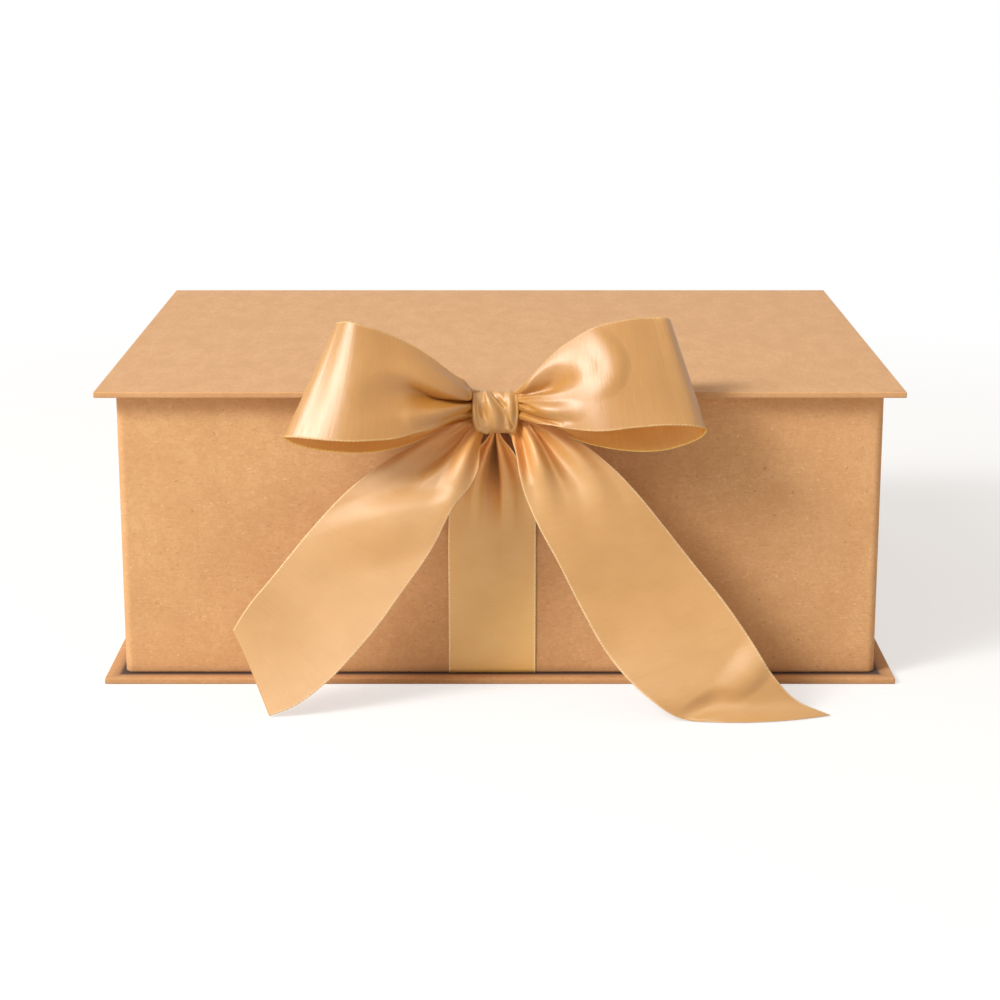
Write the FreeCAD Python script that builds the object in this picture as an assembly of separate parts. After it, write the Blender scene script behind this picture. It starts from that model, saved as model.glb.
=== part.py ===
import FreeCAD
import Part
import os

from FreeCAD import Vector

# A book-style gift box: a wrapped greyboard case folds round a tray, and a satin bow ties it shut.
# Millimetres. X runs along the front, Y back to the spine, Z up.
# The origin is the centre of the base's underside.

# Sheet materials
board = 2.0
paper = 0.15
tape = 0.1
satin = 0.3

# Case of lid, spine and base
case_width = 300.0
case_depth = 240.0
groove = 3.0
turn_in = 15.0
edge_round = 0.5
lining_margin = 3.0

# Tray on the base
tray_height = 108.0
overhang = 7.0
spine_gap = 0.4
lid_gap = 0.3
tray_corner_round = 3.0
tray_foot_round = 1.0
rim_turn_in = 20.0
tape_leg = 15.0
tape_margin = 4.0
lip_gap = 0.05

# Ribbon up the tray's front, and the tab that is glued under the tray
strip_width = 33.0
strip_offset = -3.0
strip_flat_height = 62.0
strip_pleats = 6
strip_gap = 0.15
tab_length = 20.0

# Ribbon of the bow and of the lid
bow_ribbon_width = 40.0
bow_pleats = 4
bow_offset = -2.0
tongue_drop = 6.5
pocket_lip = 1.4
lid_to_tongue = 0.5
tongue_to_knot = 0.5
floor_clearance = 0.5

# Knot
knot_width = 17.0
knot_height = 15.5
knot_depth = 12.0
knot_above_lid = 2.0

case_thickness = paper + board + paper
tray_width = case_width - 2 * overhang
tray_bottom = case_thickness
tray_top = tray_bottom + tray_height
box_height = tray_top + lid_gap + paper + case_thickness
lid_inner_face = box_height - case_thickness
case_front = -case_depth / 2
case_back = case_depth / 2
panel_back = case_back - groove
tray_front = case_front + overhang
tray_back = case_back - case_thickness - paper - spine_gap
floor_top = tray_bottom + paper + board
tongue_back = case_front - lid_to_tongue
lining_front = case_front + lining_margin

# The knot's centre, from which the bow is measured
knot = Vector(bow_offset, tongue_back - satin - tongue_to_knot - knot_depth / 2,
              box_height + knot_above_lid - knot_height / 2)
knot_foot = knot.z - knot_height / 2


def block(low, high):
    size = Vector(*high) - Vector(*low)
    return Part.makeBox(size.x, size.y, size.z, Vector(*low))


def edges_along(solid, direction):
    """The straight edges of a solid that run along one axis."""
    found = []
    for edge in solid.Edges:
        run = edge.Vertexes[-1].Point - edge.Vertexes[0].Point
        if run.Length > 0 and abs(run.normalize().dot(direction)) > 0.999:
            found.append(edge)
    return found


def edges_at_height(solid, height):
    """The edges of a solid that lie in one level plane."""
    return [edge for edge in solid.Edges
            if all(abs(corner.Z - height) < 1e-6 for corner in edge.Vertexes)]


def panel_block(inset, front, back, front_is_covered):
    """A panel's outer or inner skin, outer face down on z = 0. A side with a groove is cut square."""
    spare = 2 * turn_in
    low_y = front + inset if front_is_covered else front - spare
    half = case_width / 2 - inset
    solid = block((-half, low_y, inset), (half, back + spare, case_thickness - inset))
    solid = solid.makeFillet(edge_round - inset, solid.Edges)
    return solid.common(block((-case_width, front, 0), (case_width, back, case_thickness)))


def wrapped_panel(front, back, front_is_covered):
    """A board and its paper, with the turn-ins flush with the board's inner face."""
    outer = panel_block(0, front, back, front_is_covered)
    inner = panel_block(paper, front, back, front_is_covered)
    half = case_width / 2 - turn_in
    window_front = front + turn_in if front_is_covered else front
    window = block((-half, window_front, case_thickness - paper), (half, back, case_thickness))
    return inner.fuse(window).removeSplitter(), outer.cut(inner).cut(window)


def flat_lining(front, back, lip_front):
    """Lining paper on a panel's inner face, with lips down the board's ends into the grooves."""
    half = case_width / 2 - lining_margin
    top = case_thickness + paper
    sheet = block((-half, front, case_thickness), (half, back, top))
    lip = block((-half, back, 2 * paper + lip_gap), (half, back + paper, top))
    sheet = sheet.fuse(lip)
    if lip_front:
        lip = block((-half, front - paper, 2 * paper + lip_gap), (half, front, top))
        sheet = sheet.fuse(lip)
    return sheet.removeSplitter()


def turned_over(solid):
    """A panel built face down, turned over to be the lid."""
    solid = solid.copy()
    solid.rotate(Vector(0, 0, 0), Vector(0, 1, 0), 180)
    solid.translate(Vector(0, 0, box_height))
    return solid


def stood_up(solid):
    """A panel built face down, stood up behind the tray to be the spine."""
    solid = solid.copy()
    solid.rotate(Vector(0, 0, 0), Vector(1, 0, 0), 90)
    solid.translate(Vector(0, case_back, groove))
    return solid


def groove_ring(outer_radius, half_width):
    """A quarter ring of paper round the case's lower back corner."""
    centre = Vector(-half_width, panel_back, groove)
    axis = Vector(1, 0, 0)
    solid = Part.makeCylinder(outer_radius, 2 * half_width, centre, axis)
    solid = solid.cut(Part.makeCylinder(outer_radius - paper, 2 * half_width, centre, axis))
    return solid.common(block((-case_width, panel_back, 0), (case_width, case_back, groove)))


def groove_papers():
    """The cover paper in a groove, the lining on its inner side, and a lip up the base board's end."""
    cover = groove_ring(groove, case_width / 2 - edge_round)
    half = case_width / 2 - lining_margin
    strip = groove_ring(groove - paper, half)
    lip = block((-half, panel_back, paper + paper / 2), (half, panel_back + paper, case_thickness))
    return cover, strip, strip.fuse(lip).removeSplitter()


def make_case(tab_pocket):
    """Lid, spine and base, each a wrapped board, with the papers in the two grooves between them."""
    parts = {}
    board_solid, cover = wrapped_panel(case_front, panel_back, True)
    parts["base_board"] = board_solid
    parts["base_cover_paper"] = cover
    parts["lid_board"] = turned_over(board_solid).cut(tab_pocket)
    parts["lid_cover_paper"] = turned_over(cover).cut(tab_pocket)
    lining = flat_lining(lining_front, panel_back, False)
    parts["lid_lining"] = turned_over(lining)

    spine_length = box_height - 2 * groove
    board_solid, cover = wrapped_panel(0, spine_length, False)
    parts["spine_board"] = stood_up(board_solid)
    parts["spine_cover_paper"] = stood_up(cover)
    parts["spine_lining"] = stood_up(flat_lining(0, spine_length, True))

    cover, strip, strip_with_lip = groove_papers()
    parts["lower_groove_paper"] = cover
    parts["lower_groove_lining"] = strip_with_lip
    parts["upper_groove_paper"] = turned_over(cover)
    parts["upper_groove_lining"] = turned_over(strip)
    return parts


def tray_block(inset):
    """The tray's outside, with round upright corners and a rounded foot."""
    half = tray_width / 2 - inset
    low = (-half, tray_front + inset, tray_bottom + inset)
    high = (half, tray_back - inset, tray_top - inset)
    solid = block(low, high)
    solid = solid.makeFillet(tray_corner_round - inset, edges_along(solid, Vector(0, 0, 1)))
    solid = solid.makeFillet(tray_foot_round - inset, edges_at_height(solid, low[2]))
    return solid.makeFillet(edge_round - inset, edges_at_height(solid, high[2]))


def tray_column(inset, bottom, top):
    """A square-cornered column inside the tray's outline."""
    half = tray_width / 2 - inset
    return block((-half, tray_front + inset, bottom), (half, tray_back - inset, top))


def corner_tapes(outside):
    """Gummed tape round each upright corner of the tray, pressed into the boards."""
    inside = tray_block(paper + tape)
    low = tray_bottom + tape_margin
    high = tray_top - tape_margin
    half = tray_width / 2
    corners = []
    for x in (-half, half - tape_leg):
        for y in (tray_front, tray_back - tape_leg):
            corners.append(block((x, y, low), (x + tape_leg, y + tape_leg, high)))
    return outside.cut(inside).common(Part.makeCompound(corners))


def make_tray(tab):
    """Four walls round a floor, taped at the corners, wrapped outside and lined inside."""
    wall = case_thickness
    over = tray_top + 1
    outside = tray_block(0)
    inside = tray_block(paper)
    cavity = tray_column(wall, floor_top, over)
    rim_band = tray_column(wall - paper, tray_top - rim_turn_in, tray_top).cut(cavity)
    window = tray_column(turn_in, tray_bottom, tray_bottom + paper)

    wrap = outside.cut(inside).cut(cavity).fuse(rim_band).cut(window)
    tapes = corner_tapes(inside)
    boards = inside.fuse(window).cut(cavity).cut(rim_band).cut(tapes).cut(tab)

    floor = boards.common(tray_column(wall, 0, over))
    walls = boards.cut(tray_column(wall, 0, over))
    half = tray_width / 2
    left = block((-half, tray_front, 0), (wall - half, tray_back, over))
    right = block((half - wall, tray_front, 0), (half, tray_back, over))
    ends = walls.cut(left).cut(right)

    parts = {}
    parts["tray_floor_board"] = floor
    parts["tray_left_board"] = walls.common(left)
    parts["tray_right_board"] = walls.common(right)
    parts["tray_front_board"] = ends.common(block((-half, tray_front, 0), (half, 0, over)))
    parts["tray_back_board"] = ends.common(block((-half, 0, 0), (half, tray_back, over)))
    parts["tray_corner_tapes"] = tapes
    parts["tray_wrap_paper"] = wrap.cut(tab).removeSplitter()
    lining_top = tray_top - lining_margin
    lining = tray_column(wall, floor_top, lining_top)
    lining = lining.cut(tray_column(wall + paper, floor_top, lining_top))
    parts["tray_wall_lining"] = lining
    parts["tray_floor_lining"] = tray_column(wall + paper, floor_top, floor_top + paper)
    return parts


def ripple(start, end, lift, side):
    """An arc from start to end that swells by lift towards side, or a line where there is no lift."""
    if lift == 0:
        return Part.makeLine(start, end)
    middle = (start + end) * 0.5 + side * lift
    return Part.Arc(start, middle, end).toShape()


def ribbon_section(station, width, pleats):
    """The ribbon's cross-section: half waves of one depth, closed by the ribbon's thickness."""
    low, across, outward, pleat = station
    normal = outward - across * (outward.dot(across) / across.dot(across))
    normal.normalize()
    back = normal * (-satin)
    nodes = [low + across * (width * i / pleats) for i in range(pleats + 1)]
    lifts = [pleat * (-1) ** i for i in range(pleats)]
    edges = []
    for i in range(pleats):
        edges.append(ripple(nodes[i], nodes[i + 1], lifts[i], normal))
    edges.append(Part.makeLine(nodes[-1], nodes[-1] + back))
    for i in reversed(range(pleats)):
        edges.append(ripple(nodes[i + 1] + back, nodes[i] + back, lifts[i], normal))
    edges.append(Part.makeLine(nodes[0] + back, nodes[0]))
    return Part.Wire(edges)


def ribbon(rows, width, pleats, turn, creased=False):
    """A ribbon lofted through rows of low edge, width across in shares of the whole, and pleat depth."""
    middles = [low + across * (width / 2) for low, across, pleat in rows]
    sections = []
    for i, (low, across, pleat) in enumerate(rows):
        along = middles[min(i + 1, len(rows) - 1)] - middles[max(i - 1, 0)]
        outward = across.cross(along) * turn
        sections.append(ribbon_section((low, across, outward, pleat), width, pleats))
    return Part.makeLoft(sections, True, creased)


def loop_rows(stations):
    """Rows of a loop, whose low edge is measured from the knot's centre."""
    return [(knot + Vector(*low), Vector(*across), pleat) for low, across, pleat in stations]


def tail_rows(stations):
    """Rows of a tail, whose low edge is a share of the height between the floor and the knot's foot."""
    rows = []
    for (x, y, share), across, pleat in stations:
        height = floor_clearance + share * (knot_foot - floor_clearance)
        rows.append((Vector(knot.x + x, knot.y + y, height), Vector(*across), pleat))
    return rows


# Each loop leaves the knot's front, folds at its outer end and comes back behind.
# A station is the low edge, the way across in shares of the ribbon's width, and the pleats' depth.
left_loop = (
    ((-8.5, -2.6, -2.6), (0.00, 0.02, 0.15), 0.3),
    ((-12.5, -6.8, -2.6), (0.02, 0.10, 0.27), 0.7),
    ((-18.0, -11.7, -2.3), (0.10, 0.20, 0.41), 1.2),
    ((-28.0, -20.7, -3.8), (-0.02, 0.35, 0.72), 1.0),
    ((-37.0, -25.7, -4.8), (-0.08, 0.43, 0.90), 0.6),
    ((-52.0, -28.2, -5.3), (0.10, 0.50, 0.97), 0.3),
    ((-64.0, -25.7, -4.8), (0.26, 0.50, 0.99), 0.2),
    ((-75.0, -19.7, -4.8), (0.45, 0.45, 0.95), 0.2),
    ((-71.5, -13.7, -9.5), (0.40, 0.39, 0.98), 0.2),
    ((-58.0, -10.7, -12.8), (0.22, 0.39, 0.94), 0.2),
    ((-43.0, -9.7, -13.0), (0.18, 0.37, 0.82), 0.3),
    ((-29.5, -6.7, -10.3), (0.14, 0.29, 0.57), 0.6),
    ((-18.0, -2.2, -5.8), (0.10, 0.14, 0.29), 0.8),
    ((-8.5, 2.0, -3.0), (0.00, 0.02, 0.15), 0.3),
)
right_loop = (
    ((8.5, -2.6, -2.6), (0.00, 0.02, 0.15), 0.3),
    ((12.5, -6.8, -2.6), (-0.02, 0.10, 0.27), 0.7),
    ((18.0, -11.7, -2.3), (-0.08, 0.20, 0.43), 1.2),
    ((29.0, -22.7, -2.0), (-0.12, 0.40, 0.67), 1.0),
    ((39.0, -27.7, -1.3), (-0.09, 0.45, 0.85), 0.6),
    ((50.0, -29.2, 0.2), (-0.11, 0.49, 0.88), 0.3),
    ((65.0, -27.2, 0.7), (-0.22, 0.52, 0.88), 0.2),
    ((76.0, -19.7, -3.3), (-0.31, 0.47, 0.91), 0.2),
    ((72.5, -13.7, -8.3), (-0.29, 0.42, 0.96), 0.2),
    ((62.0, -11.2, -12.0), (-0.25, 0.41, 0.97), 0.2),
    ((48.0, -10.2, -12.5), (-0.20, 0.39, 0.81), 0.3),
    ((32.0, -6.7, -10.0), (-0.10, 0.29, 0.54), 0.6),
    ((20.5, -3.2, -5.8), (-0.11, 0.16, 0.28), 0.8),
    ((8.5, 2.0, -3.0), (0.00, 0.02, 0.15), 0.3),
)
# Each tail leaves the knot's foot, hangs forward of the box and ends in a slanting cut.
left_tail = (
    ((-2.8, -1.5, 1.0), (-0.12, 0.01, 0.00), 0.2),
    ((-2.8, -1.5, 0.985), (-0.12, 0.01, 0.00), 0.2),
    ((-6.0, -6.7, 0.862), (-0.42, 0.11, 0.20), 1.3),
    ((-15.5, -11.7, 0.733), (-0.61, 0.14, 0.39), 1.2),
    ((-21.5, -15.7, 0.621), (-0.78, 0.18, 0.48), 0.8),
    ((-34.0, -20.7, 0.441), (-0.82, 0.20, 0.56), 0.3),
    ((-47.5, -24.7, 0.262), (-0.85, 0.18, 0.57), 0.3),
    ((-62.0, -28.2, 0.106), (-0.69, 0.19, 0.72), 0.3),
    ((-82.0, -30.7, 0.0), (-0.33, 0.19, 0.76), 0.2),
)
right_tail = (
    ((2.8, -1.5, 1.0), (0.12, 0.01, 0.00), 0.2),
    ((2.8, -1.5, 0.985), (0.12, 0.01, 0.00), 0.2),
    ((8.6, -5.2, 0.905), (0.39, 0.08, 0.15), 1.3),
    ((11.0, -8.7, 0.794), (0.60, 0.10, 0.36), 1.2),
    ((18.0, -14.7, 0.627), (0.75, 0.16, 0.53), 0.8),
    ((29.0, -20.7, 0.444), (0.83, 0.20, 0.56), 0.3),
    ((36.6, -25.7, 0.293), (0.95, 0.20, 0.59), 0.3),
    ((44.6, -29.2, 0.187), (1.03, 0.24, 0.46), 0.3),
    ((52.6, -31.7, 0.095), (1.10, 0.22, 0.25), 0.3),
    ((62.0, -34.7, 0.025), (1.10, 0.25, 0.12), 0.3),
    ((71.5, -36.2, 0.0), (1.28, 0.16, 0.00), 0.1),
)
# The strip above its flat part: shares of the climb, of the way forward and of the width, and pleats.
strip_climb = (
    (0.0, 0.0, 1.0, 0.0),
    (0.1, 0.0, 1.0, 0.0),
    (0.3, 0.05, 0.96, 0.5),
    (0.6, 0.33, 0.72, 1.4),
    (0.82, 0.68, 0.44, 1.2),
    (0.96, 0.95, 0.22, 0.3),
    (1.0, 0.95, 0.22, 0.3),
)
# The lid's ribbon from under the lining to behind the knot: shares of the way forward and down.
tongue_bend = ((0.0, 0.0), (0.1, 0.0), (0.4, 0.07), (0.93, 0.34), (1.0, 1.0))
# The knot from left to right: shares of its width, of its half depth and of its half height above.
knot_shape = (
    (-0.50, 0.80, 0.84),
    (-0.40, 0.98, 1.00),
    (-0.20, 0.90, 0.94),
    (0.00, 1.00, 1.00),
    (0.20, 0.90, 0.94),
    (0.40, 0.98, 1.00),
    (0.50, 0.80, 0.84),
)
# One slice of the knot as arcs, each in shares of the half depth and the half height.
knot_arcs = (
    ((0.0, 1.0), (-0.71, 0.71), (-1.0, 0.0)),
    ((-1.0, 0.0), (-0.92, -0.62), (-0.6, -1.0)),
    ((0.6, -1.0), (0.92, -0.62), (1.0, 0.0)),
    ((1.0, 0.0), (0.71, 0.71), (0.0, 1.0)),
)


def knot_slice(place, depth_share, top_share):
    """One slice of the knot: round above, with a level foot where the tails and the strip enter it."""
    edges = []
    for arc in knot_arcs:
        points = []
        for y, z in arc:
            height = z * knot_height / 2 * (top_share if z > 0 else 1)
            points.append(knot + Vector(place * knot_width, y * depth_share * knot_depth / 2, height))
        edges.append(Part.Arc(*points).toShape())
    edges.insert(2, Part.makeLine(edges[1].Vertexes[-1].Point, edges[2].Vertexes[0].Point))
    return Part.Wire(edges)


def front_ribbon_tab():
    """The ribbon's end that is glued under the tray's front, in a pocket of its own thickness."""
    low = (strip_offset - strip_width / 2, tray_front - strip_gap, tray_bottom)
    return block(low, (low[0] + strip_width, tray_front + tab_length, tray_bottom + satin))


def make_front_ribbon():
    """The strip up the tray's front: a glued tab, a flat part, and pleats that gather at the knot."""
    low = (strip_offset - strip_width / 2, tray_front - strip_gap - satin, tray_bottom)
    flat = block(low, (low[0] + strip_width, low[1] + satin, strip_flat_height))
    rows = []
    for climb, forward, share, pleat in strip_climb:
        middle = strip_offset + climb * (knot.x - strip_offset)
        y = low[1] + forward * (knot.y - low[1])
        z = strip_flat_height + climb * (knot_foot - strip_flat_height)
        rows.append((Vector(middle - share * strip_width / 2, y, z), Vector(share, 0, 0), pleat))
    pleated = ribbon(rows, strip_width, strip_pleats, 1)
    return front_ribbon_tab().fuse(flat).fuse(pleated)


def lid_ribbon_tab(front):
    """The lid ribbon's glued end between board and lining, or its pocket, from a given front."""
    low = (knot.x - bow_ribbon_width / 2, front, lid_inner_face)
    back = lining_front + tab_length
    return block(low, (low[0] + bow_ribbon_width, back, lid_inner_face + satin))


def make_lid_ribbon():
    """The ribbon out of the lid's front: a glued tab and a tongue that hangs behind the knot."""
    rows = []
    for forward, down in tongue_bend:
        y = lining_front + forward * (tongue_back - lining_front)
        low = Vector(knot.x - bow_ribbon_width / 2, y, lid_inner_face - down * tongue_drop)
        rows.append((low, Vector(1, 0, 0), 0))
    return lid_ribbon_tab(lining_front).fuse(ribbon(rows, bow_ribbon_width, 1, 1, True))


def make_ribbons():
    """The two glued ribbons, and a bow whose loops and tails end where they enter its knot."""
    parts = {}
    parts["front_ribbon"] = make_front_ribbon()
    parts["lid_ribbon"] = make_lid_ribbon()
    parts["bow_loop_left"] = ribbon(loop_rows(left_loop), bow_ribbon_width, bow_pleats, 1)
    parts["bow_loop_right"] = ribbon(loop_rows(right_loop), bow_ribbon_width, bow_pleats, -1)
    parts["bow_tail_left"] = ribbon(tail_rows(left_tail), bow_ribbon_width, bow_pleats, 1)
    parts["bow_tail_right"] = ribbon(tail_rows(right_tail), bow_ribbon_width, bow_pleats, -1)
    parts["bow_knot"] = Part.makeLoft([knot_slice(*row) for row in knot_shape], True, False)
    return parts


def main():
    os.makedirs("parts", exist_ok=True)
    parts = make_case(lid_ribbon_tab(lining_front - pocket_lip))
    parts.update(make_tray(front_ribbon_tab()))
    parts.update(make_ribbons())
    for name, shape in parts.items():
        if len(shape.Solids) == 1:
            shape = shape.Solids[0]
        shape.exportStep("parts/" + name + ".step")


main()
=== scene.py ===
import math

import bpy
import numpy as np
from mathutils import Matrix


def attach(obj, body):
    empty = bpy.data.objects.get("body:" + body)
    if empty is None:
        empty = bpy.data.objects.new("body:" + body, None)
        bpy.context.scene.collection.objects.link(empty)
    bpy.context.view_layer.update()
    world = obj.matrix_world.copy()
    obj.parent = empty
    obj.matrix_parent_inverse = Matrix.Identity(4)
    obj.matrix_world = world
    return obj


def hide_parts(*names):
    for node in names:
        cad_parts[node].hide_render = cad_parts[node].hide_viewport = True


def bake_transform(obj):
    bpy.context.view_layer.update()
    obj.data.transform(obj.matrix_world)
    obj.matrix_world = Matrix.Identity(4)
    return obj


# A book-style gift box in kraft paper, tied shut with a satin bow.
# The ribbons are worked out in millimetres and turned into metres when their meshes are made.
# X runs along the front, Y back to the spine and Z up.
MM = 0.001
RIBBON = 40.0
FRONT_RIBBON = 33.0
SATIN_THICKNESS = 0.3
KNOT = np.array([-2.0, -127.3, 107.3])

BOX_HEIGHT = 113.05
TRAY_HALF_WIDTH = 143.0
TRAY_FRONT = -113.0

# The two grooves' papers are quarter rounds about this line, and its mirror image at the lid.
GROOVE_CENTRE = (117.0, 3.0)
GROOVE_LENGTH = 4.7
GROOVE_PAPER = 0.14

WHITE = (1.0, 1.0, 1.0, 1.0)
# Near-black painted shade for thin shadow lines at the tray's foot, under the lid's edge and along the base's
# bottom.
PAINTED_SHADE_DARK = (0.030, 0.010, 0.003, 1.0)
KRAFT = (0.700, 0.385, 0.172)

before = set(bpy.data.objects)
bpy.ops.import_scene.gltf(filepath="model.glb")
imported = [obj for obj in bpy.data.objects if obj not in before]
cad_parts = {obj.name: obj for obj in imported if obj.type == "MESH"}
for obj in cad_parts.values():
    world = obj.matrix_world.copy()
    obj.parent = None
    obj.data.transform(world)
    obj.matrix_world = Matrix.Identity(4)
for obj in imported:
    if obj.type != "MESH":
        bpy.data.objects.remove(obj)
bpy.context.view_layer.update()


# Camera, lamps, floor and world

def add_camera():
    """The photograph's view: 14 degrees down on the box's front, with a long lens."""
    data = bpy.data.cameras.new("camera")
    data.sensor_width = 36.0
    data.lens = 36.0 * 2.430
    data.clip_end = 50.0
    camera = bpy.data.objects.new("camera", data)
    camera.location = (0.0, -0.998, 0.291)
    camera.rotation_euler = (math.radians(76.0), 0.0, 0.0)
    bpy.context.scene.collection.objects.link(camera)
    bpy.context.scene.camera = camera


def add_lamp(name, place, aim, size, watts, colour):
    data = bpy.data.lights.new(name, "AREA")
    data.shape = "DISK"
    data.size = size
    data.energy = watts
    data.color = colour
    lamp = bpy.data.objects.new(name, data)
    lamp.location = place
    direction = np.array(aim) - np.array(place)
    flat = math.hypot(direction[0], direction[1])
    lamp.rotation_euler = (math.atan2(flat, -direction[2]), 0.0, math.atan2(-direction[0], direction[1]))
    bpy.context.scene.collection.objects.link(lamp)


class Shader:
    """A material's node tree, with short ways to add and join nodes."""

    def __init__(self, owner):
        owner.use_nodes = True
        self.tree = owner.node_tree
        self.tree.nodes.clear()

    def add(self, kind, inputs=None, **settings):
        made = self.tree.nodes.new(kind)
        for key, value in settings.items():
            setattr(made, key, value)
        for key, value in (inputs or {}).items():
            if isinstance(value, bpy.types.NodeSocket):
                self.tree.links.new(value, made.inputs[key])
            else:
                made.inputs[key].default_value = value
        return made

    def math(self, operation, first, second=0.0, clamp=False):
        made = self.add("ShaderNodeMath", {0: first, 1: second}, operation=operation, use_clamp=clamp)
        return made.outputs[0]

    def step(self, value, low, high, to_low=0.0, to_high=1.0):
        """Smooth change from to_low to to_high as value goes from low to high."""
        made = self.add("ShaderNodeMapRange", {"Value": value, "From Min": low, "From Max": high,
                                               "To Min": to_low, "To Max": to_high},
                        interpolation_type="SMOOTHSTEP")
        return made.outputs["Result"]

    def millimetres(self, point):
        made = self.add("ShaderNodeVectorMath", {0: point, "Scale": 1000.0}, operation="SCALE")
        return made.outputs[0]

    def stretched(self, point, scale, turn=0.0):
        made = self.add("ShaderNodeMapping", {"Vector": point, "Scale": scale, "Rotation": (0.0, turn, turn)})
        return made.outputs["Vector"]

    def noise(self, point, scale, detail=2.0, roughness=0.5, distortion=0.0):
        made = self.add("ShaderNodeTexNoise", {"Vector": point, "Scale": scale, "Detail": detail,
                                               "Roughness": roughness, "Distortion": distortion})
        return made.outputs["Fac"]

    def mix(self, factor, first, second, blend="MIX"):
        made = self.add("ShaderNodeMix", {0: factor, 6: first, 7: second}, data_type="RGBA", blend_type=blend)
        return made.outputs[2]

    def finish(self, surface):
        self.add("ShaderNodeOutputMaterial", {"Surface": surface})


def seen_plainly(shader):
    """1 for the rays that show the backdrop itself, and 0 for those that light the box."""
    path = shader.add("ShaderNodeLightPath").outputs
    seen = shader.math("ADD", path["Is Camera Ray"], path["Is Glossy Ray"])
    return shader.math("ADD", seen, path["Is Transmission Ray"], clamp=True)


def add_world():
    """Soft light, and a plain white backdrop."""
    world = bpy.data.worlds.new("world")
    bpy.context.scene.world = world
    shader = Shader(world)
    seen = seen_plainly(shader)
    light = shader.add("ShaderNodeBackground", {"Color": (1.0, 0.88, 0.76, 1.0), "Strength": 0.46})
    white = shader.add("ShaderNodeBackground", {"Color": WHITE, "Strength": 1.0})
    mixed = shader.add("ShaderNodeMixShader", {0: seen, 1: light.outputs[0], 2: white.outputs[0]})
    shader.add("ShaderNodeOutputWorld", {"Surface": mixed.outputs[0]})


def add_floor():
    """A pale sweep that keeps the box's shadow and turns plain white further away."""
    mesh = bpy.data.meshes.new("floor")
    reach = 30.0
    corners = [(-reach, -reach, 0), (reach, -reach, 0), (reach, reach, 0), (-reach, reach, 0)]
    mesh.from_pydata(corners, [], [(0, 1, 2, 3)])
    floor = bpy.data.objects.new("floor", mesh)
    bpy.context.scene.collection.objects.link(floor)
    material = bpy.data.materials.new("floor")
    shader = Shader(material)
    seen = seen_plainly(shader)
    place = shader.add("ShaderNodeTexCoord").outputs["Object"]
    distance = shader.add("ShaderNodeVectorMath", {0: place}, operation="LENGTH").outputs["Value"]
    away = shader.step(distance, 0.35, 0.75)
    diffuse = shader.add("ShaderNodeBsdfDiffuse", {"Color": (0.42, 0.42, 0.42, 1.0)})
    glow = shader.add("ShaderNodeEmission", {"Color": WHITE, "Strength": 0.60})
    white = shader.add("ShaderNodeEmission", {"Color": WHITE, "Strength": 1.0})
    near = shader.add("ShaderNodeAddShader", {0: diffuse.outputs[0], 1: glow.outputs[0]})
    shown = shader.add("ShaderNodeMixShader", {0: away, 1: near.outputs[0], 2: white.outputs[0]})
    plain = shader.add("ShaderNodeBsdfDiffuse", {"Color": (0.80, 0.78, 0.75, 1.0)})
    mixed = shader.add("ShaderNodeMixShader", {0: seen, 1: plain.outputs[0], 2: shown.outputs[0]})
    shader.finish(mixed.outputs[0])
    mesh.materials.append(material)


# Materials

def scaled(colour, red, green, blue):
    """A colour with its three parts multiplied."""
    return [colour[0] * red, colour[1] * green, colour[2] * blue, 1.0]


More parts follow.
